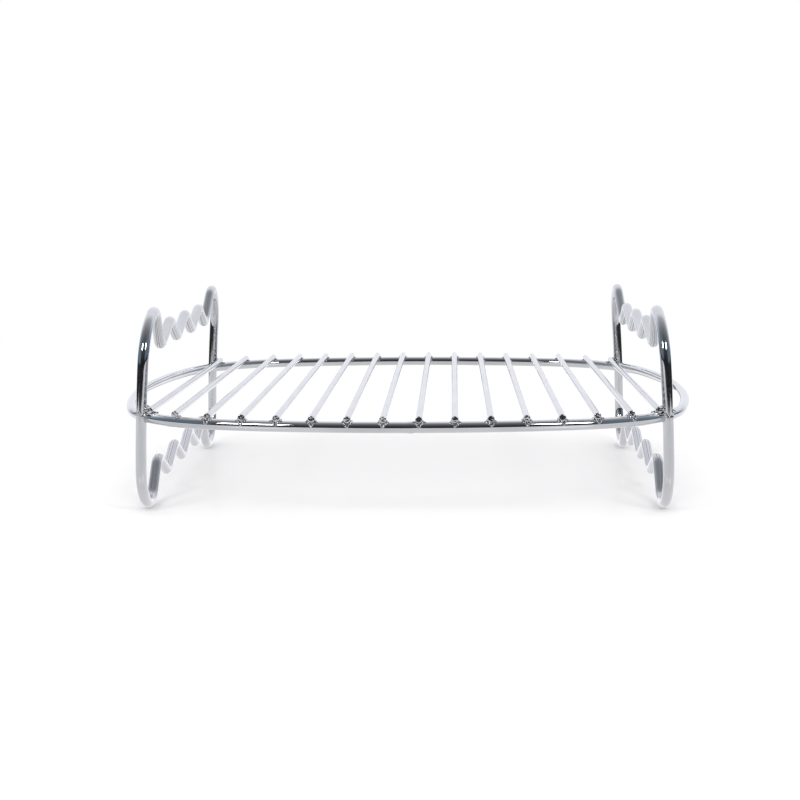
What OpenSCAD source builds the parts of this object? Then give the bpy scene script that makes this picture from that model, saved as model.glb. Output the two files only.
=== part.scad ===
// Cooling rack of welded round wire: a closed rim, parallel crossbars laid on it,
// and two upright side frames whose waved runs hold skewers and serve as feet.
// X runs from one side frame to the other, Y along the crossbars, Z up.
// The origin is on the surface the rack stands on, under the middle of the rim.

/* [Rim] */
// Overall size of the rim along X and along Y
rim_size = 196.5; // [185:0.5:205]
// Diameter of the rim wire
rim_wire_d = 3.5; // [3:0.1:4]
// Centre-line radius of the rim's rounded corners
rim_corner_r = 46; // [40:1:52]
// Centre-line radius of the rim's gently bowed sides
rim_side_r = 240; // [200:5:320]
// Height of the rim's centre line above the surface
rim_height = 31.2; // [28:0.2:34]

/* [Crossbars] */
// Number of crossbars
bar_count = 16; // [12:2:16]
// Diameter of the crossbar wire
bar_wire_d = 2.2; // [1.8:0.1:2.6]
// Distance between neighbouring inner crossbars
bar_pitch = 10.85; // [10.2:0.05:11.2]
// Depth that each crossbar is pressed into the rim as it is welded
bar_set_down = 0.4; // [0.2:0.05:0.6]
// How far a crossbar's cut end reaches past the rim's centre line
bar_overhang = 1.5; // [1:0.1:1.7]

/* [Side frames] */
// Distance between the two side frames at the height of the rim
frame_spacing = 166; // [160:1:172]
// Diameter of the side-frame wire
frame_wire_d = 3.5; // [3:0.1:4]
// Overall height of a side frame
frame_height = 65.4; // [63:0.2:68]
// Inward lean of each side frame at the height of the rim
frame_lean = 2.5; // [0:0.5:4]
// Radius of each side frame's gentle outward bow from its feet to its crests
frame_bow_r = 650; // [500:10:900]
// Distance from a leg to the crest beside it
crest_inset = 13.5; // [12.5:0.5:15]
// Distance between neighbouring skewer notches
notch_pitch = 30.4; // [29:0.2:31]
// Depth of the skewer notches below the four outer crests
notch_depth = 11.5; // [10:0.5:13]
// How much lower the three middle crests are than the outer ones
middle_drop = 5.4; // [4.5:0.1:6.5]

/* [Bend radii of the side frames] */
// Bend over each upper outer crest
crest_r = 6.5; // [5.5:0.5:7.5]
// Bend under each notch
notch_r = 4.5; // [4:0.5:5]
// Bend over each middle crest
middle_r = 5; // [4.5:0.5:5.5]
// Wide bend that carries a leg over towards its crest
knee_r = 15.5; // [14:0.5:18]
// Bend from a leg into its foot
foot_r = 13; // [11:0.5:14]

/* [Welds] */
// Reach of a corner weld from its centre
nugget_r = 2.6; // [2.2:0.1:3]
// Width of the flash squeezed out beside a crossbar's weld
flash_d = 3.4; // [3:0.1:3.4]
// How far that flash stands above the rim
flash_rise = 0.35; // [0.2:0.05:0.5]

/* [Hidden] */
$fa = 3;
$fs = 0.25;
rim_r = rim_wire_d / 2;
bar_r = bar_wire_d / 2;
wire_r = frame_wire_d / 2;
half_rim = rim_size / 2 - rim_r;
half_spacing = frame_spacing / 2;
leg_gap = 0.15;
rod_length = 12;
flash_h = 1.3;
wire_sides = 12;
rim_arc_steps = 8;
frame_bend_step = 14;
longest_run = 9;

// The rim's outline: four shallow side arcs that run tangent into four corner arcs.
side_offset = rim_side_r - half_rim;
arc_gap = rim_side_r - rim_corner_r;
corner_c = (sqrt(2 * arc_gap * arc_gap - side_offset * side_offset) - side_offset) / 2;
side_angle = atan2(corner_c, corner_c + side_offset);
side_reach = rim_side_r * sin(side_angle);
function rim_y(x) = abs(x) < side_reach
    ? sqrt(rim_side_r * rim_side_r - x * x) - side_offset
    : corner_c + sqrt(rim_corner_r * rim_corner_r - pow(abs(x) - corner_c, 2));
function rim_slope(x) = -sign(x) * (abs(x) < side_reach
    ? asin(abs(x) / rim_side_r)
    : asin((abs(x) - corner_c) / rim_corner_r));

// Crossbars: the inner ones at an even pitch, the outermost one beside each leg.
bar_z = rim_height + rim_r + bar_r - bar_set_down;
outer_bar_x = half_spacing - wire_r - bar_r - leg_gap;
function bar_x(i) = i == 0 ? -outer_bar_x
    : i == bar_count - 1 ? outer_bar_x
    : (i - (bar_count - 1) / 2) * bar_pitch;
function bar_name(i) = str("crossbar_", i < 9 ? "0" : "", i + 1);

// Side frame: the wire runs round a closed row of round pegs, like a belt.
// A peg is [y, z, radius, side], where side is 1 inside the loop and -1 outside it.
leg_y = rim_y(half_spacing) + rim_r + wire_r;
top_z = frame_height - wire_r;
low_z = wire_r;
crest_y = leg_y - crest_inset;
crest_z = top_z - crest_r;
knee_run = 0.3;
knee_y = leg_y - knee_r;
knee_z = crest_z - knee_run
    - sqrt(pow(knee_r - crest_r, 2) - pow(knee_r - crest_inset, 2));
foot_y = leg_y - foot_r;
foot_flat = 1;
toe_r = 7;
toe_y = foot_y - foot_flat;
notch_ys = [1.5 * notch_pitch, 0.5 * notch_pitch];

function mirror_y(pegs) = [for (i = [len(pegs) - 1:-1:0])
    [-pegs[i][0], pegs[i][1], pegs[i][2], pegs[i][3]]];
top_half = [
    [notch_ys[1], top_z - notch_depth + notch_r, notch_r, -1],
    [notch_pitch, top_z - middle_drop - middle_r, middle_r, 1],
    [notch_ys[0], top_z - notch_depth + notch_r, notch_r, -1],
    [crest_y, crest_z, crest_r, 1],
    [knee_y, knee_z, knee_r, 1],
];
low_half = [
    [foot_y, low_z + foot_r, foot_r, 1],
    [toe_y, low_z + toe_r, toe_r, 1],
    [notch_ys[0], low_z + notch_depth - notch_r, notch_r, -1],
    [notch_pitch, low_z + middle_drop + middle_r, middle_r, 1],
    [notch_ys[1], low_z + notch_depth - notch_r, notch_r, -1],
];
PEGS = concat(
    [[0, top_z - middle_drop - middle_r, middle_r, 1]],
    top_half,
    low_half,
    [[0, low_z + middle_drop + middle_r, middle_r, 1]],
    mirror_y(low_half),
    mirror_y(top_half)
);
PEG_COUNT = len(PEGS);
function peg(i) = PEGS[(i + PEG_COUNT) % PEG_COUNT];
function signed_r(i) = peg(i)[3] * peg(i)[2];

// Heading of the straight run from peg i to the next one.
function run_heading(i) =
    let (step = [peg(i + 1)[0] - peg(i)[0], peg(i + 1)[1] - peg(i)[1]])
    atan2(step[1], step[0]) - asin((signed_r(i) - signed_r(i + 1)) / norm(step));
function wrap(angle) = angle - 360 * floor((angle + 180) / 360);

// Distance of a side frame's centre line from the YZ plane at height z.
function frame_x(z) = half_spacing - (z - rim_height) * tan(frame_lean)
    - pow(z - rim_height, 2) / (2 * frame_bow_r);

// Stations along a bend, each [x, y, heading]. A positive radius turns right.
function bend(x, y, r, heading, turn, steps) = [for (k = [0:steps])
    let (h = heading + turn * k / steps)
    [x - r * sin(h), y + r * cos(h), h]];
function turned(stations, angle) = [for (s = stations)
    [s[0] * cos(angle) - s[1] * sin(angle), s[0] * sin(angle) + s[1] * cos(angle), s[2] + angle]];
rim_quarter = concat(
    bend(-side_offset, 0, -rim_side_r, 90 - side_angle, 2 * side_angle, rim_arc_steps),
    bend(corner_c, corner_c, -rim_corner_r, 90 + side_angle, 90 - 2 * side_angle, rim_arc_steps)
);
rim_stations = [for (quarter = [0:3]) for (k = [0:len(rim_quarter) - 1])
    if (k != rim_arc_steps) turned(rim_quarter, 90 * quarter)[k]];
frame_bends = [for (i = [0:PEG_COUNT - 1])
    let (arrive = run_heading(i - 1), turn = wrap(run_heading(i) - arrive))
    for (s = bend(peg(i)[0], peg(i)[1], signed_r(i), arrive, turn, ceil(abs(turn) / frame_bend_step))) s];
// The straight runs between bends are divided too, so that they can follow the bow.
frame_stations = [for (i = [0:len(frame_bends) - 1])
    let (a = frame_bends[i], b = frame_bends[(i + 1) % len(frame_bends)])
    let (step = [b[0] - a[0], b[1] - a[1]], parts = ceil(norm(step) / longest_run))
    for (k = [0:parts - 1])
        [a[0] + step[0] * k / parts, a[1] + step[1] * k / parts, a[2]]];

// A closed loop of round wire through its stations in the XY plane.
// sway holds how far each station stands out of that plane.
module wire_loop(stations, sway, wire_d) {
    count = len(stations);
    polyhedron(
        points = [for (i = [0:count - 1]) for (j = [0:wire_sides - 1])
            let (s = stations[i], angle = 360 * j / wire_sides, out = wire_d / 2 * cos(angle))
            [s[0] - out * sin(s[2]), s[1] + out * cos(s[2]), sway[i] + wire_d / 2 * sin(angle)]],
        faces = [for (i = [0:count - 1]) for (j = [0:wire_sides - 1])
            let (near = i * wire_sides, far = (i + 1) % count * wire_sides, up = (j + 1) % wire_sides)
            [near + j, near + up, far + up, far + j]]
    );
}

// The rim's wire where it passes x, as a short straight rod. end is -1 front, 1 rear.
module rim_rod(x, end) {
    translate([x, end * rim_y(x), rim_height])
        rotate([0, 90, end * rim_slope(x)])
            cylinder(d = rim_wire_d, h = rod_length, center = true);
}

module bar_shape(i) {
    half_length = rim_y(bar_x(i)) + bar_overhang;
    translate([bar_x(i), 0, bar_z])
        rotate([90, 0, 0])
            cylinder(d = bar_wire_d, h = 2 * half_length, center = true);
}

// A side frame, one closed loop that leans in at its crests. side is -1 left, 1 right.
module side_frame(side) {
    color("silver")
        rotate([90, 0, 90])
            wire_loop(frame_stations, [for (s = frame_stations) side * frame_x(s[1])], frame_wire_d);
}

// The rim, one closed loop of thick wire
module rim_ring() {
    color("lightgray")
        translate([0, 0, rim_height])
            wire_loop(rim_stations, [for (s = rim_stations) 0], rim_wire_d);
}

module left_side_frame() {
    side_frame(-1);
}

module right_side_frame() {
    side_frame(1);
}

// A crossbar, seated in the rim at both ends
module crossbar(i) {
    color("gainsboro")
        difference() {
            bar_shape(i);
            for (end = [-1, 1])
                rim_rod(bar_x(i), end);
        }
}

// Fused metal where a leg, the rim and the outermost crossbar meet
module corner_nugget(side, end) {
    nugget_x = side * (outer_bar_x + bar_r);
    difference() {
        translate([nugget_x, end * (leg_y - wire_r - rim_r / 2), rim_height + rim_r])
            sphere(r = nugget_r);
        rim_rod(nugget_x, end);
        bar_shape(side < 0 ? 0 : bar_count - 1);
        translate([side * half_spacing, end * leg_y, rim_height])
            rotate([0, -side * frame_lean, 0])
                cylinder(d = frame_wire_d, h = rod_length, center = true);
    }
}

module corner_welds() {
    $fs = 0.1;
    color("darkgray")
        for (side = [-1, 1])
            for (end = [-1, 1])
                corner_nugget(side, end);
}

// Flash squeezed out beside one crossbar as it is pressed into the rim
module bar_flash(i, end) {
    difference() {
        translate([bar_x(i), end * rim_y(bar_x(i)), rim_height + rim_r + flash_rise - flash_h])
            cylinder(d = flash_d, h = flash_h);
        rim_rod(bar_x(i), end);
        bar_shape(i);
    }
}

module bar_welds(end) {
    $fs = 0.1;
    color("darkgray")
        for (i = [1:bar_count - 2])
            bar_flash(i, end);
}

module front_bar_welds() {
    bar_welds(-1);
}

module rear_bar_welds() {
    bar_welds(1);
}

rim_ring();
left_side_frame();
right_side_frame();
for (i = [0:bar_count - 1])
    crossbar(i);
corner_welds();
front_bar_welds();
rear_bar_welds();
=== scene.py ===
"""Looks of the cooling rack: chromed wires, sheared crossbar ends and welds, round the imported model."""
import random
from math import asin, atan2, ceil, cos, exp, hypot, pi, radians, sin, sqrt, tan, tau

import bmesh
import bpy
from mathutils import Matrix, Vector, noise


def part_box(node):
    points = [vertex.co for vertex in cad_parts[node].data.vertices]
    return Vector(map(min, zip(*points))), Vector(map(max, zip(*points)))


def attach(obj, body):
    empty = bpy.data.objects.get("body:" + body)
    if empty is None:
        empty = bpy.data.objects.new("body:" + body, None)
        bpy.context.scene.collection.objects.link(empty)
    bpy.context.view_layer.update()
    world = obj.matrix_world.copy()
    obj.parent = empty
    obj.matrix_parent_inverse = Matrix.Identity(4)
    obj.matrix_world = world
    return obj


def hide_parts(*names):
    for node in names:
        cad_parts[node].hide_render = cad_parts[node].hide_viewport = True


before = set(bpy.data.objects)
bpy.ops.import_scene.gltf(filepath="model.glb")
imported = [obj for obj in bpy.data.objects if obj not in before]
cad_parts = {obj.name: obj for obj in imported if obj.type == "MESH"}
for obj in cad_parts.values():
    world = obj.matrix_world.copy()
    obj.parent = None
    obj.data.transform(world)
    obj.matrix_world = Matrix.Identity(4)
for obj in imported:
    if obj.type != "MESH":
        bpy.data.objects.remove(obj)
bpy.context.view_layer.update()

# Lengths are in millimetres until a mesh is finished, and then in metres.
MM = 0.001

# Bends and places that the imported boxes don't give
RIM_CORNER_R = 46.0
RIM_SIDE_R = 240.0
FRAME_SPACING = 166.0
FRAME_LEAN = radians(2.5)
FRAME_BOW_R = 650.0
CREST_INSET = 13.5
NOTCH_PITCH = 30.4
NOTCH_DEPTH = 11.5
MIDDLE_DROP = 5.4
CREST_R = 6.5
NOTCH_R = 4.5
MIDDLE_R = 5.0
KNEE_R = 15.5
KNEE_RUN = 0.3
FOOT_R = 13.0
FOOT_FLAT = 1.0
TOE_R = 7.0

# Fineness of the swept wires
SIDES = 36
STEP = 1.5
BEND_STEP = radians(4.0)
RIM_SIDE_STEPS = 76
RIM_CORNER_STEPS = 32


def box_mm(node):
    """Lowest and highest corner of a CAD node, in millimetres."""
    low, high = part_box(node)
    return low / MM, high / MM


rim_low, rim_high = box_mm("rim_ring")
RIM_R = (rim_high.z - rim_low.z) / 2
RIM_Z = (rim_high.z + rim_low.z) / 2
HALF_RIM = rim_high.x - RIM_R
# The side frames are of the same wire as the rim
WIRE_R = RIM_R
SIDE_OFFSET = RIM_SIDE_R - HALF_RIM
ARC_GAP = RIM_SIDE_R - RIM_CORNER_R
CORNER_C = (sqrt(2 * ARC_GAP ** 2 - SIDE_OFFSET ** 2) - SIDE_OFFSET) / 2
SIDE_ANGLE = atan2(CORNER_C, CORNER_C + SIDE_OFFSET)
SIDE_REACH = RIM_SIDE_R * sin(SIDE_ANGLE)

BAR_NODES = sorted(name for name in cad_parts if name.startswith("crossbar_"))
END_NAMES = {-1: "front", 1: "rear"}
SIDE_NAMES = {-1: "left", 1: "right"}


def rim_y(x):
    """How far the rim's centre line is from the X axis at x."""
    if abs(x) < SIDE_REACH:
        return sqrt(RIM_SIDE_R ** 2 - x ** 2) - SIDE_OFFSET
    return CORNER_C + sqrt(RIM_CORNER_R ** 2 - (abs(x) - CORNER_C) ** 2)


def rim_slope(x):
    """Angle of the rim's rear side against the X axis at x."""
    if abs(x) < SIDE_REACH:
        return -asin(x / RIM_SIDE_R)
    return -asin((abs(x) - CORNER_C) / RIM_CORNER_R) * (1 if x > 0 else -1)


LEG_Y = rim_y(FRAME_SPACING / 2) + RIM_R + WIRE_R


# ---------------------------------------------------------------- swept wires

def bend(a, b, radius, heading, turn, steps):
    """Stations (a, b, heading) along a bend round the centre a, b. A positive radius turns left."""
    headings = [heading + turn * k / steps for k in range(steps + 1)]
    return [(a + radius * sin(h), b - radius * cos(h), h) for h in headings]


def rim_stations():
    """The rim's outline: four shallow side arcs, tangent to four corner arcs."""
    side_start = pi / 2 - SIDE_ANGLE
    side_end = pi / 2 + SIDE_ANGLE
    corner_turn = pi / 2 - 2 * SIDE_ANGLE
    quarter = bend(-SIDE_OFFSET, 0, RIM_SIDE_R, side_start, 2 * SIDE_ANGLE, RIM_SIDE_STEPS)[:-1]
    quarter += bend(CORNER_C, CORNER_C, RIM_CORNER_R, side_end, corner_turn, RIM_CORNER_STEPS)[:-1]
    stations = []
    for turn in (k * pi / 2 for k in range(4)):
        for a, b, h in quarter:
            stations.append((a * cos(turn) - b * sin(turn), a * sin(turn) + b * cos(turn), h + turn))
    return stations


def frame_pegs():
    """Pegs (y, z, radius, side) that a side frame's wire runs round like a belt. Side is 1 inside it."""
    low, high = box_mm("left_side_frame")
    top = high.z - WIRE_R
    bottom = low.z + WIRE_R
    crest_z = top - CREST_R
    knee_z = crest_z - KNEE_RUN - sqrt((KNEE_R - CREST_R) ** 2 - (KNEE_R - CREST_INSET) ** 2)
    upper = [
        (NOTCH_PITCH / 2, top - NOTCH_DEPTH + NOTCH_R, NOTCH_R, -1),
        (NOTCH_PITCH, top - MIDDLE_DROP - MIDDLE_R, MIDDLE_R, 1),
        (NOTCH_PITCH * 1.5, top - NOTCH_DEPTH + NOTCH_R, NOTCH_R, -1),
        (LEG_Y - CREST_INSET, crest_z, CREST_R, 1),
        (LEG_Y - KNEE_R, knee_z, KNEE_R, 1),
    ]
    lower = [
        (LEG_Y - FOOT_R, bottom + FOOT_R, FOOT_R, 1),
        (LEG_Y - FOOT_R - FOOT_FLAT, bottom + TOE_R, TOE_R, 1),
        (NOTCH_PITCH * 1.5, bottom + NOTCH_DEPTH - NOTCH_R, NOTCH_R, -1),
        (NOTCH_PITCH, bottom + MIDDLE_DROP + MIDDLE_R, MIDDLE_R, 1),
        (NOTCH_PITCH / 2, bottom + NOTCH_DEPTH - NOTCH_R, NOTCH_R, -1),
    ]
    top_middle = [(0.0, top - MIDDLE_DROP - MIDDLE_R, MIDDLE_R, 1)]
    low_middle = [(0.0, bottom + MIDDLE_DROP + MIDDLE_R, MIDDLE_R, 1)]
    half = upper + lower
    mirrored = [(-y, z, r, side) for y, z, r, side in reversed(half)]
    return top_middle + half + low_middle + mirrored


def frame_stations():
    """The belt's stations (y, z, heading): a bend round each peg and a straight run to the next."""
    pegs = frame_pegs()
    count = len(pegs)
    headings = []
    for i in range(count):
        y0, z0, r0, side0 = pegs[i]
        y1, z1, r1, side1 = pegs[(i + 1) % count]
        span = hypot(y1 - y0, z1 - z0)
        headings.append(atan2(z1 - z0, y1 - y0) - asin((side0 * r0 - side1 * r1) / span))
    stations = []
    for i, (y, z, r, side) in enumerate(pegs):
        arrive = headings[i - 1]
        turn = (headings[i] - arrive + pi) % tau - pi
        steps = max(2, ceil(abs(turn) / BEND_STEP))
        arc = bend(y, z, -side * r, arrive, turn, steps)
        if stations:
            stations += straight(stations[-1], arc[0])
        stations += arc
    return stations + straight(stations[-1], stations[0])


def straight(start, end):
    """The stations between two points on a straight run, without its ends."""
    a, b, heading = start
    run_a, run_b = end[0] - a, end[1] - b
    steps = ceil(hypot(run_a, run_b) / STEP)
    return [(a + run_a * k / steps, b + run_b * k / steps, heading) for k in range(1, steps)]


def tube(name, rings, along, closed):
    """A skin over rings of points. Its wire_coord says how far across and along the wire a corner is."""
    count, sides = len(rings), len(rings[0])
    points = [p * MM for ring in rings for p in ring]
    faces, places = [], []
    for i in range(count if closed else count - 1):
        j = (i + 1) % count
        for k in range(sides):
            n = (k + 1) % sides
            faces.append((i * sides + k, i * sides + n, j * sides + n, j * sides + k))
            places += [(k, along[i]), (n, along[i]), (n, along[i + 1]), (k, along[i + 1])]
    if not closed:
        for ring, flip in ((0, True), (count - 1, False)):
            centre = len(points)
            points.append(sum(rings[ring], Vector()) / sides * MM)
            for k in range(sides):
                n = (k + 1) % sides
                pair = (n, k) if flip else (k, n)
                faces.append((ring * sides + pair[0], ring * sides + pair[1], centre))
                places += [(pair[0], along[ring]), (pair[1], along[ring]), (pair[0], along[ring])]
    mesh = bpy.data.meshes.new(name)
    mesh.from_pydata(points, [], faces)
    mesh.polygons.foreach_set("use_smooth", [True] * len(mesh.polygons))
    coord = mesh.attributes.new("wire_coord", "FLOAT_VECTOR", "CORNER")
    for item, (k, distance) in zip(coord.data, places):
        angle = tau * k / sides
        item.vector = (WIRE_R * MM * cos(angle), WIRE_R * MM * sin(angle), distance * MM)
    mesh.validate()
    piece = bpy.data.objects.new(name, mesh)
    bpy.context.scene.collection.objects.link(piece)
    return piece


def loop_wire(name, stations, radius, place, sway=None, swelling=None):
    """A closed loop of round wire. place maps (a, b, out of plane) to the rack.

    sway(b) is how far out of its plane the loop runs, and swelling(a, b, angle) adds to its radius.
    """
    rings, along, distance = [], [], 0.0
    for i, (a, b, heading) in enumerate(stations):
        if i:
            distance += hypot(a - stations[i - 1][0], b - stations[i - 1][1])
        along.append(distance)
        ring = []
        for k in range(SIDES):
            angle = tau * k / SIDES
            r = radius + (swelling(a, b, angle) if swelling else 0.0)
            across = r * cos(angle)
            out = r * sin(angle) + (sway(b) if sway else 0.0)
            ring.append(place @ Vector((a - across * sin(heading), b + across * cos(heading), out)))
        rings.append(ring)
    along.append(distance + hypot(stations[0][0] - stations[-1][0], stations[0][1] - stations[-1][1]))
    return tube(name, rings, along, closed=True)


# The rim's butt joint: a bead and a groove beside it, each with a place, a height and a width
JOINT_BEAD_X = 3.2
JOINT_BEAD_H = 0.16
JOINT_BEAD_W = 0.55
JOINT_GROOVE_X = JOINT_BEAD_X + 1.1
JOINT_GROOVE_H = -0.1
JOINT_GROOVE_W = 0.35
JOINT_UNEVEN = 0.9
JOINT_GRAIN = 3


def rim_joint(a, b, angle):
    """The low, uneven bead where the rim's two ends are butted together, in the middle of the front."""
    if b > 0:
        return 0.0
    bead = JOINT_BEAD_H * exp(-((a - JOINT_BEAD_X) / JOINT_BEAD_W) ** 2)
    groove = JOINT_GROOVE_H * exp(-((a - JOINT_GROOVE_X) / JOINT_GROOVE_W) ** 2)
    grain = noise.noise(Vector((JOINT_GRAIN * cos(angle), JOINT_GRAIN * sin(angle), a)))
    return (bead + groove) * (1 + JOINT_UNEVEN * grain)


def rim_wire():
    """The rim, with its butt joint in the middle of the front."""
    place = Matrix.Translation((0, 0, RIM_Z))
    piece = loop_wire("rim_wire", rim_stations(), RIM_R, place, swelling=rim_joint)
    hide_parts("rim_ring")
    return piece


def side_wire(side):
    """A side frame's wire, drawn in the YZ plane and bowed so that it leans in at its crests."""
    upright = Matrix(((0, 0, 1, 0), (1, 0, 0, 0), (0, 1, 0, 0), (0, 0, 0, 1)))

    def sway(z):
        rise = z - RIM_Z
        return side * (FRAME_SPACING / 2 - rise * tan(FRAME_LEAN) - rise ** 2 / (2 * FRAME_BOW_R))

    piece = loop_wire(SIDE_NAMES[side] + "_frame_wire", frame_stations(), WIRE_R, upright, sway)
    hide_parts(SIDE_NAMES[side] + "_side_frame")
    return piece


# ---------------------------------------------------------------- crossbars

BAR_SIDES = 28
BAR_STEP = 4
# Length at each end of a bar that its cut's own rings cover
CUT_REACH = 2.0
CUT_FILLET = 0.3
CUT_ROUGH = 0.06
CUT_GRAIN = 1.9
# Least and greatest slant of a cut, as a rise over a run
CUT_TILT = (-0.05, 0.1)
# These keep one bar's noise apart from the next bar's
CUT_SHIFT = 7.3
COORD_SHIFT = 500.0


def bar_wire(index, node):
    """A straight crossbar whose two ends are sheared: a worn edge round a slightly uneven cut face."""
    low, high = box_mm(node)
    radius = (high.x - low.x) / 2
    centre = Vector(((high.x + low.x) / 2, 0, high.z - radius))
    half = high.y
    tilt = {end: -end * random.Random(index * 2 + end).uniform(*CUT_TILT) for end in (-1, 1)}

    def ring(y, r, end=0, rough=0.0):
        points = []
        for k in range(BAR_SIDES):
            angle = tau * k / BAR_SIDES
            x, z = r * cos(angle), r * sin(angle)
            lump = rough * noise.noise(Vector((CUT_GRAIN * x, CUT_GRAIN * z, index * CUT_SHIFT + y)))
            slant = tilt[end] * z if end else 0.0
            points.append(centre + Vector((x, y + lump + slant, z)))
        return points

    def cut(end):
        """Rings from the bar's side over its worn edge to the middle of the cut face."""
        found = []
        for t in (0, 22, 45, 68, 90):
            r = radius - CUT_FILLET + CUT_FILLET * cos(radians(t))
            y = end * (half - CUT_FILLET + CUT_FILLET * sin(radians(t)))
            found.append((y, ring(y, r, end, CUT_ROUGH * t / 90)))
        for share in (0.7, 0.4, 0.15):
            found.append((end * half, ring(end * half, (radius - CUT_FILLET) * share, end, CUT_ROUGH)))
        return found

    span = 2 * (half - CUT_REACH)
    steps = ceil(span / BAR_STEP)
    middle = [(y, ring(y, radius)) for y in (-span / 2 + span * k / steps for k in range(steps + 1))]
    rows = cut(-1)[::-1] + middle + cut(1)
    rings = [points for _, points in rows]
    along = [index * COORD_SHIFT + y for y, _ in rows]
    piece = tube(f"crossbar_wire_{index + 1:02d}", rings, along, closed=False)
    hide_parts(node)
    return piece


# ---------------------------------------------------------------- welds

WELD_VOXEL = 0.16
WELD_SOFTENING = 0.5
# Lumps on weld metal: their height, and a coarse and a fine noise scale
WELD_LUMP = 0.09
WELD_COARSE = 1.7
WELD_FINE = 4.1
# The one crossbar end, by index and side, whose left edge was left nearly clean
BARE_END = (1, -1)
BARE_HAND = -1
BARE_SHARE = 0.25
# Each side of a crossbar's end has a seam of three balls and a drip of four, which thins as it runs down
SEAM_OUTS = (-0.7, 0.1, 0.8)
DRIP_BALLS = 4
DRIP_TOP = 1.15
DRIP_LOWEST = (0.0, 0.5)
# Beads on a leg's outer face
LEG_BEADS = 5
LEG_BEAD_R = 0.7
LEG_BEAD_STEP = radians(32)


def fused(name, balls, node):
    """Overlapping balls (centre, radius) melted into one lumpy skin, which replaces a weld node."""
    bm = bmesh.new()
    for centre, radius in balls:
        bmesh.ops.create_icosphere(bm, subdivisions=2, radius=radius, matrix=Matrix.Translation(centre))
    rough = bpy.data.meshes.new(name + "_balls")
    bm.to_mesh(rough)
    bm.free()
    carrier = bpy.data.objects.new(name + "_carrier", rough)
    bpy.context.scene.collection.objects.link(carrier)
    remesh = carrier.modifiers.new("fuse", "REMESH")
    remesh.mode = "VOXEL"
    remesh.voxel_size = WELD_VOXEL
    remesh.use_smooth_shade = True
    soften = carrier.modifiers.new("soften", "SMOOTH")
    soften.factor = WELD_SOFTENING
    soften.iterations = 1
    melted = carrier.evaluated_get(bpy.context.evaluated_depsgraph_get())
    mesh = bpy.data.meshes.new_from_object(melted)
    bpy.data.objects.remove(carrier)
    bpy.data.meshes.remove(rough)
    normals = [v.normal.copy() for v in mesh.vertices]
    for v, normal in zip(mesh.vertices, normals):
        lump = noise.noise(v.co * WELD_COARSE) + 0.5 * noise.noise(v.co * WELD_FINE)
        v.co = (v.co + normal * WELD_LUMP * lump) * MM
    mesh.polygons.foreach_set("use_smooth", [True] * len(mesh.polygons))
    mesh.name = name
    piece = bpy.data.objects.new(name, mesh)
    bpy.context.scene.collection.objects.link(piece)
    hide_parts(node)
    return piece


def bar_weld_balls(index, end):
    """Flash at one crossbar's end: a seam, an ear and a drip each side. The drips meet below the cut."""
    rng = random.Random(100 * index + end)
    low, high = box_mm(BAR_NODES[index])
    x = (low.x + high.x) / 2
    turn = Matrix.Rotation(end * rim_slope(x), 3, "Z")
    origin = Vector((x, end * rim_y(x), RIM_Z))
    balls = []

    def ball(across, out, up, radius, spread=0.12):
        stray = Vector([rng.uniform(-spread, spread) for _ in range(3)])
        local = Vector((across, end * out, up)) + stray
        balls.append((origin + turn @ local, radius * rng.uniform(0.85, 1.15)))

    full = BARE_SHARE if (index, end) == BARE_END else 1.0
    for hand in (-1, 1):
        share = full if hand == BARE_HAND else 1.0
        for out in SEAM_OUTS:
            ball(hand * 1.1, out, 1.65, 0.5 * share)
        ball(hand * 1.55, 0.85, 1.35, 0.5 * share, 0.2)
        ball(hand * 0.75, 1.4, 1.35, 0.42 * share)
        lowest = rng.uniform(*DRIP_LOWEST)
        for k in range(DRIP_BALLS):
            up = DRIP_TOP + (lowest - DRIP_TOP) * k / (DRIP_BALLS - 1)
            out = sqrt(RIM_R ** 2 - up ** 2)
            ball(hand * (0.68 - 0.17 * k), out, up, (0.4 - 0.05 * k) * full, 0.04)
    return balls


def corner_weld_balls(side, end):
    """The nugget that joins a leg, the rim and the outermost crossbar, with some spatter on the leg."""
    rng = random.Random(900 + 10 * side + end)
    low, high = box_mm(BAR_NODES[0] if side < 0 else BAR_NODES[-1])
    bar_x = (low.x + high.x) / 2
    bar_z = high.z - (high.x - low.x) / 2
    leg_x = side * FRAME_SPACING / 2
    between = leg_x - side * WIRE_R
    balls = []

    def ball(x, out, z, radius, spread=0.15):
        stray = Vector([rng.uniform(-spread, spread) for _ in range(3)])
        balls.append((Vector((x, end * out, z)) + stray, radius * rng.uniform(0.88, 1.12)))

    # The nugget's core runs from between the leg and the rim up to the crossbar
    for k in range(4):
        ball(leg_x - side * 0.5 * k, LEG_Y - WIRE_R - 0.3 * k, RIM_Z + 0.2 + 0.45 * k, 1.15)
    # Metal that fills the gap between the leg and the crossbar
    ball(between, LEG_Y + 0.7, bar_z + 0.25, 0.95)
    ball(between, LEG_Y - 0.9, bar_z + 0.5, 1.0)
    ball(between + side * 0.3, LEG_Y + 0.9, RIM_Z + 1.0, 0.85)
    # Flash under the crossbar's end and along the rim, away from the leg
    ball(bar_x, LEG_Y + 1.35, RIM_Z + 0.9, 0.8)
    ball(bar_x - side * 1.3, LEG_Y + 0.1, RIM_Z + 1.6, 0.6)
    ball(bar_x - side * 1.9, LEG_Y - 0.9, RIM_Z + 1.5, 0.5)
    # Metal that ran round the leg's outer face and froze there in small beads
    reach = WIRE_R + 0.1
    for k in range(LEG_BEADS):
        turn = LEG_BEAD_STEP * (k - (LEG_BEADS - 1) / 2)
        bead_z = RIM_Z + rng.uniform(0.1, 1.9)
        ball(leg_x + reach * sin(turn), LEG_Y + reach * cos(turn), bead_z, LEG_BEAD_R, 0.08)
    return balls


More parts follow.
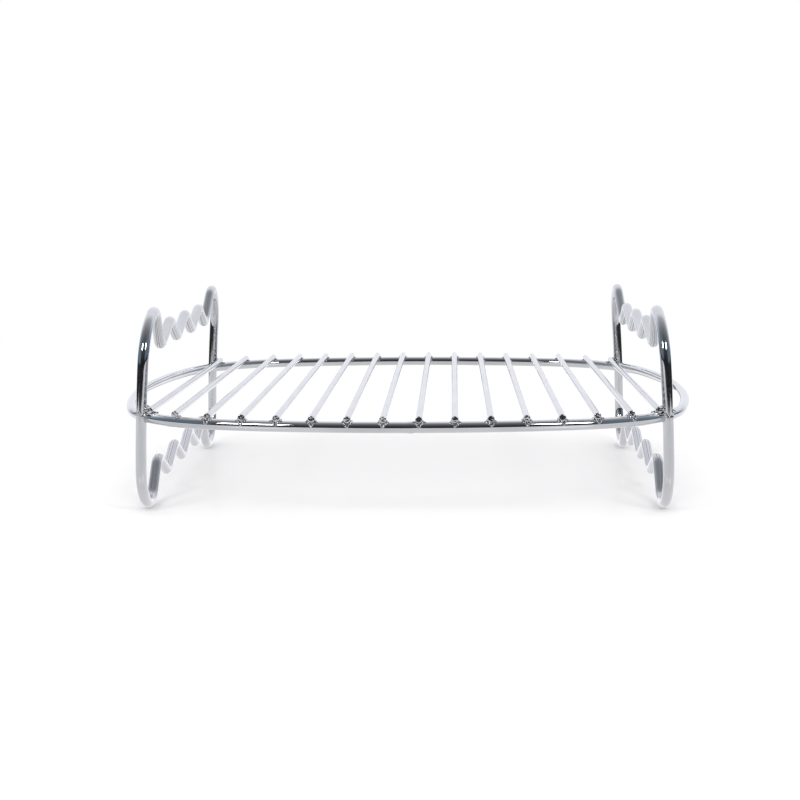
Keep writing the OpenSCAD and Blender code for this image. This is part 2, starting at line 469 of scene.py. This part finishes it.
def weld_pieces():
    """The three groups of weld metal: along the front, along the rear, and at the corners."""
    inner = range(1, len(BAR_NODES) - 1)
    made = []
    for end in (-1, 1):
        balls = [b for i in inner for b in bar_weld_balls(i, end)]
        made.append(fused(END_NAMES[end] + "_bar_weld_beads", balls, END_NAMES[end] + "_bar_welds"))
    balls = [b for side in (-1, 1) for end in (-1, 1) for b in corner_weld_balls(side, end)]
    made.append(fused("corner_weld_beads", balls, "corner_welds"))
    return made


# ---------------------------------------------------------------- materials

# Noise scales across, across and along a wire, per metre
PATCH_SCALE = (260, 260, 70)
DRAWN_SCALE = (2600, 2600, 45)
WAVE_SCALE = (190, 190, 110)
SPECK_SCALE = (2300, 2300, 2300)


def node(tree, kind, **inputs):
    """A shader node with its inputs set; an input that is a socket is linked. Names use _ for spaces."""
    made = tree.nodes.new(kind)
    for key, value in inputs.items():
        socket = made.inputs[key.replace("_", " ")]
        if isinstance(value, bpy.types.NodeSocket):
            tree.links.new(value, socket)
        else:
            socket.default_value = value
    return made


def stretched_noise(tree, place, scale, detail, roughness=0.5):
    """Noise over a place vector that is first scaled along each axis."""
    mapped = node(tree, "ShaderNodeMapping", Vector=place, Scale=scale)
    return node(tree, "ShaderNodeTexNoise", Vector=mapped.outputs["Vector"], Scale=1.0, Detail=detail,
                Roughness=roughness).outputs["Fac"]


def blend_of(tree, factor, low, high):
    """A colour that runs from low to high as the factor goes from 0.3 to 0.7."""
    ramp = node(tree, "ShaderNodeValToRGB", Fac=factor)
    ramp.color_ramp.elements[0].position = 0.3
    ramp.color_ramp.elements[0].color = (*low, 1)
    ramp.color_ramp.elements[1].position = 0.7
    ramp.color_ramp.elements[1].color = (*high, 1)
    return ramp.outputs["Color"]


def spread_of(tree, factor, low, high):
    """A number that runs from low to high as the factor goes from 0.3 to 0.7."""
    made = node(tree, "ShaderNodeMapRange", Value=factor,
                From_Min=0.3, From_Max=0.7, To_Min=low, To_Max=high)
    return made.outputs["Result"]


def chrome(name, tints, haze, wave, lines, pits, on_wire=True):
    """Bright plated steel. haze is the roughness range. wave, lines and pits are bump heights in mm."""
    made = bpy.data.materials.new(name)
    made.use_nodes = True
    tree = made.node_tree
    tree.nodes.clear()
    if on_wire:
        place = node(tree, "ShaderNodeAttribute")
        place.attribute_name = "wire_coord"
        place = place.outputs["Vector"]
    else:
        place = node(tree, "ShaderNodeTexCoord").outputs["Object"]
    patches = stretched_noise(tree, place, PATCH_SCALE, 4)
    drawn = stretched_noise(tree, place, DRAWN_SCALE, 3)
    waves = stretched_noise(tree, place, WAVE_SCALE, 1)
    specks = stretched_noise(tree, place, SPECK_SCALE, 2, 0.7)
    height = None
    for signal, size in ((waves, wave), (drawn, lines), (specks, pits)):
        bump = node(tree, "ShaderNodeBump", Height=signal, Strength=1.0, Distance=size * MM)
        if height:
            tree.links.new(height, bump.inputs["Normal"])
        height = bump.outputs["Normal"]
    shader = node(tree, "ShaderNodeBsdfPrincipled", Metallic=1.0, Normal=height,
                  Base_Color=blend_of(tree, patches, *tints), Roughness=spread_of(tree, specks, *haze))
    out = node(tree, "ShaderNodeOutputMaterial", Surface=shader.outputs["BSDF"])
    out.is_active_output = True
    return made


def finishes():
    """One finish for each of the record's material slots."""
    bright = ((0.57, 0.575, 0.59), (0.66, 0.665, 0.68))
    return {
        "rim_wire": chrome("rim_chrome", bright, (0.03, 0.08), 0.006, 0.0005, 0.0006),
        "frame_wire": chrome("frame_chrome", bright, (0.05, 0.1), 0.006, 0.0003, 0.0006),
        "crossbar_wire": chrome("crossbar_chrome", bright, (0.12, 0.2), 0.008, 0.0006, 0.0006),
        "weld_metal": chrome("weld_chrome", ((0.42, 0.42, 0.43), (0.62, 0.62, 0.63)), (0.04, 0.14),
                             0.03, 0.002, 0.02, on_wire=False),
    }


# ---------------------------------------------------------------- studio

FLOOR_REACH = 6.0
# Where the floor starts and ends its fade to plain white, from the middle of the rack
FLOOR_FADE = (0.2, 0.6)
SKY_PEAK = radians(25)
# Brightness of the reflected sky by angle from its peak, in degrees. The first two are the ramp's ends.
SKY_GLOW = {180: 0.02, 0: 1.1, 37: 1.0, 53: 0.55, 65: 0.40, 80: 0.245, 103: 0.114, 124: 0.04}
TABLE_FRONT = -0.318
TABLE_BACK = 0.33
TABLE_HALF_W = 0.45
TABLE_GLOW = 0.85
SOFTBOX_PLACE = (0.26, -0.42, 0.30)
SOFTBOX_SIZE = (0.12, 0.11)
SOFTBOX_RADIANCE = 10.0
CAMERA_PLACE = (0.0157, -0.5650, 0.1002)
CAMERA_YAW = radians(1.948)
CAMERA_PITCH = radians(7.372)
CAMERA_ROLL = radians(-0.339)
CAMERA_LENS = 70.75


def plane(name, half_width, front, back, z):
    """A flat staged rectangle between a front and a back edge."""
    left, right = -half_width, half_width
    corners = [(left, front, z), (right, front, z), (right, back, z), (left, back, z)]
    mesh = bpy.data.meshes.new(name)
    mesh.from_pydata(corners, [], [(0, 1, 2, 3)])
    made = bpy.data.objects.new(name, mesh)
    bpy.context.scene.collection.objects.link(made)
    return made


def pale_floor():
    """The floor that is seen: nearly white with a faint gloss, fading to plain white further off."""
    made = plane("floor", FLOOR_REACH, -FLOOR_REACH, FLOOR_REACH, 0)
    made.visible_glossy = False
    finish = bpy.data.materials.new("pale_floor")
    finish.use_nodes = True
    tree = finish.node_tree
    tree.nodes.clear()
    place = node(tree, "ShaderNodeTexCoord").outputs["Object"]
    distance = node(tree, "ShaderNodeVectorMath", Vector=place)
    distance.operation = "LENGTH"
    fade = node(tree, "ShaderNodeMapRange", Value=distance.outputs["Value"],
                From_Min=FLOOR_FADE[0], From_Max=FLOOR_FADE[1], To_Min=0.0, To_Max=1.0)
    fade.interpolation_type = "SMOOTHSTEP"
    matt = node(tree, "ShaderNodeBsdfDiffuse", Color=(0.94, 0.935, 0.94, 1))
    gloss = node(tree, "ShaderNodeBsdfGlossy", Color=(1, 1, 1, 1), Roughness=0.18)
    near = node(tree, "ShaderNodeMixShader", Fac=0.05)
    tree.links.new(matt.outputs["BSDF"], near.inputs[1])
    tree.links.new(gloss.outputs["BSDF"], near.inputs[2])
    far = node(tree, "ShaderNodeEmission", Color=(1, 1, 1, 1), Strength=1.0)
    both = node(tree, "ShaderNodeMixShader", Fac=fade.outputs["Result"])
    tree.links.new(near.outputs["Shader"], both.inputs[1])
    tree.links.new(far.outputs["Emission"], both.inputs[2])
    node(tree, "ShaderNodeOutputMaterial", Surface=both.outputs["Shader"])
    made.data.materials.append(finish)


def reflected_table():
    """The white table top as the chrome sees it, with the dark studio past its edges."""
    made = plane("table_reflection", TABLE_HALF_W, TABLE_FRONT, TABLE_BACK, -0.001)
    for ray in ("camera", "diffuse", "transmission", "volume_scatter", "shadow"):
        setattr(made, "visible_" + ray, False)
    finish = bpy.data.materials.new("table_glow")
    finish.use_nodes = True
    tree = finish.node_tree
    tree.nodes.clear()
    glow = node(tree, "ShaderNodeEmission", Color=(0.955, 0.95, 0.965, 1), Strength=TABLE_GLOW)
    sheen = node(tree, "ShaderNodeBsdfPrincipled", Base_Color=(0, 0, 0, 1), Roughness=0.3, IOR=2.0)
    both = node(tree, "ShaderNodeAddShader")
    tree.links.new(glow.outputs["Emission"], both.inputs[0])
    tree.links.new(sheen.outputs["BSDF"], both.inputs[1])
    node(tree, "ShaderNodeOutputMaterial", Surface=both.outputs["Shader"])
    made.data.materials.append(finish)


def studio_world():
    """White all round to the eye. The chrome sees a bright wall behind and a dark room in front."""
    world = bpy.data.worlds.new("studio")
    bpy.context.scene.world = world
    world.use_nodes = True
    tree = world.node_tree
    tree.nodes.clear()
    direction = node(tree, "ShaderNodeTexCoord").outputs["Generated"]
    axes = node(tree, "ShaderNodeSeparateXYZ", Vector=direction)

    def ramp(signal, from_low, from_high):
        """A smooth step from 0 to 1."""
        made = node(tree, "ShaderNodeMapRange", Value=signal, To_Min=0.0, To_Max=1.0)
        made.interpolation_type = "SMOOTHSTEP"
        made.inputs["From Min"].default_value = from_low
        made.inputs["From Max"].default_value = from_high
        return made.outputs["Result"]

    def math(kind, *values):
        made = tree.nodes.new("ShaderNodeMath")
        made.operation = kind
        for socket, value in zip(made.inputs, values):
            if isinstance(value, bpy.types.NodeSocket):
                tree.links.new(value, socket)
            else:
                socket.default_value = value
        return made.outputs["Value"]

    # The brightest part of the sky is low over the back, and it fades over the top to the front
    toward = node(tree, "ShaderNodeVectorMath", Vector=direction)
    toward.operation = "DOT_PRODUCT"
    toward.inputs[1].default_value = (0, cos(SKY_PEAK), sin(SKY_PEAK))
    sky = tree.nodes.new("ShaderNodeValToRGB")
    tree.links.new(math("MULTIPLY_ADD", toward.outputs["Value"], 0.5, 0.5), sky.inputs["Fac"])
    stops = sky.color_ramp.elements
    for i, (angle, grey) in enumerate(SKY_GLOW.items()):
        place = (1 + cos(radians(angle))) / 2
        stop = stops[i] if i < 2 else stops.new(place)
        stop.position = place
        stop.color = (grey, grey, grey, 1)
    above = ramp(axes.outputs["Z"], 0.0, 0.3)
    wall = ramp(axes.outputs["Y"], 0.6, 0.9)
    back = math("MAXIMUM", math("MULTIPLY", sky.outputs["Color"], above), wall)
    # The slate sides reach from the table to halfway up, and hide the sky except towards the back
    low_band = math("MULTIPLY", ramp(axes.outputs["Z"], -0.05, 0.05), ramp(axes.outputs["Z"], 0.75, 0.5))
    side = math("MULTIPLY", ramp(math("ABSOLUTE", axes.outputs["X"]), 0.55, 0.75), low_band)
    hidden = math("MULTIPLY", side, ramp(axes.outputs["Y"], 0.5, -0.1))
    back = math("MULTIPLY", back, math("SUBTRACT", 1.0, hidden))
    glow = math("ADD", back, 0.02)
    warm = node(tree, "ShaderNodeBackground", Color=(0.97, 0.98, 1.04, 1), Strength=glow)
    cold = node(tree, "ShaderNodeBackground", Color=(0.14, 0.20, 0.26, 1), Strength=side)
    reflected = node(tree, "ShaderNodeAddShader")
    tree.links.new(warm.outputs["Background"], reflected.inputs[0])
    tree.links.new(cold.outputs["Background"], reflected.inputs[1])
    seen = node(tree, "ShaderNodeBackground", Color=(1, 1, 1, 1), Strength=1.0)
    dome = node(tree, "ShaderNodeBackground", Color=(1, 1, 1, 1), Strength=1.08)
    path = node(tree, "ShaderNodeLightPath")
    first = node(tree, "ShaderNodeMixShader", Fac=path.outputs["Is Glossy Ray"])
    tree.links.new(dome.outputs["Background"], first.inputs[1])
    tree.links.new(reflected.outputs["Shader"], first.inputs[2])
    second = node(tree, "ShaderNodeMixShader", Fac=path.outputs["Is Camera Ray"])
    tree.links.new(first.outputs["Shader"], second.inputs[1])
    tree.links.new(seen.outputs["Background"], second.inputs[2])
    node(tree, "ShaderNodeOutputWorld", Surface=second.outputs["Shader"])


def softbox(side):
    """A rectangular studio light to one side, aimed at the middle of the rack."""
    name = "softbox_" + SIDE_NAMES[side]
    lamp = bpy.data.lights.new(name, "AREA")
    lamp.shape = "RECTANGLE"
    lamp.size, lamp.size_y = SOFTBOX_SIZE
    lamp.energy = SOFTBOX_RADIANCE * pi * SOFTBOX_SIZE[0] * SOFTBOX_SIZE[1]
    made = bpy.data.objects.new(name, lamp)
    made.location = (side * SOFTBOX_PLACE[0], SOFTBOX_PLACE[1], SOFTBOX_PLACE[2])
    made.rotation_euler = (Vector((0, 0, 0.03)) - made.location).to_track_quat("-Z", "Y").to_euler()
    made.visible_camera = False
    bpy.context.scene.collection.objects.link(made)


def photo_camera():
    """Close to the table, a little to the right of the middle, looking slightly down."""
    lens = bpy.data.cameras.new("camera")
    lens.sensor_width = 36.0
    lens.lens = CAMERA_LENS
    lens.clip_start = 0.01
    lens.clip_end = 50.0
    made = bpy.data.objects.new("camera", lens)
    turn = Matrix.Rotation(CAMERA_YAW, 4, "Z") @ Matrix.Rotation(pi / 2 - CAMERA_PITCH, 4, "X")
    made.matrix_world = Matrix.Translation(CAMERA_PLACE) @ turn @ Matrix.Rotation(CAMERA_ROLL, 4, "Z")
    bpy.context.scene.collection.objects.link(made)
    bpy.context.scene.camera = made


# ---------------------------------------------------------------- assembly

photo_camera()
studio_world()
pale_floor()
reflected_table()
softbox(-1)
softbox(1)
bpy.context.scene.view_settings.view_transform = "Standard"

finish = finishes()
made = [(rim_wire(), "rim_wire")]
made += [(side_wire(side), "frame_wire") for side in (-1, 1)]
made += [(bar_wire(i, node_name), "crossbar_wire") for i, node_name in enumerate(BAR_NODES)]
made += [(piece, "weld_metal") for piece in weld_pieces()]
for piece, slot_name in made:
    piece.data.materials.clear()
    piece.data.materials.append(finish[slot_name])
    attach(piece, "root")
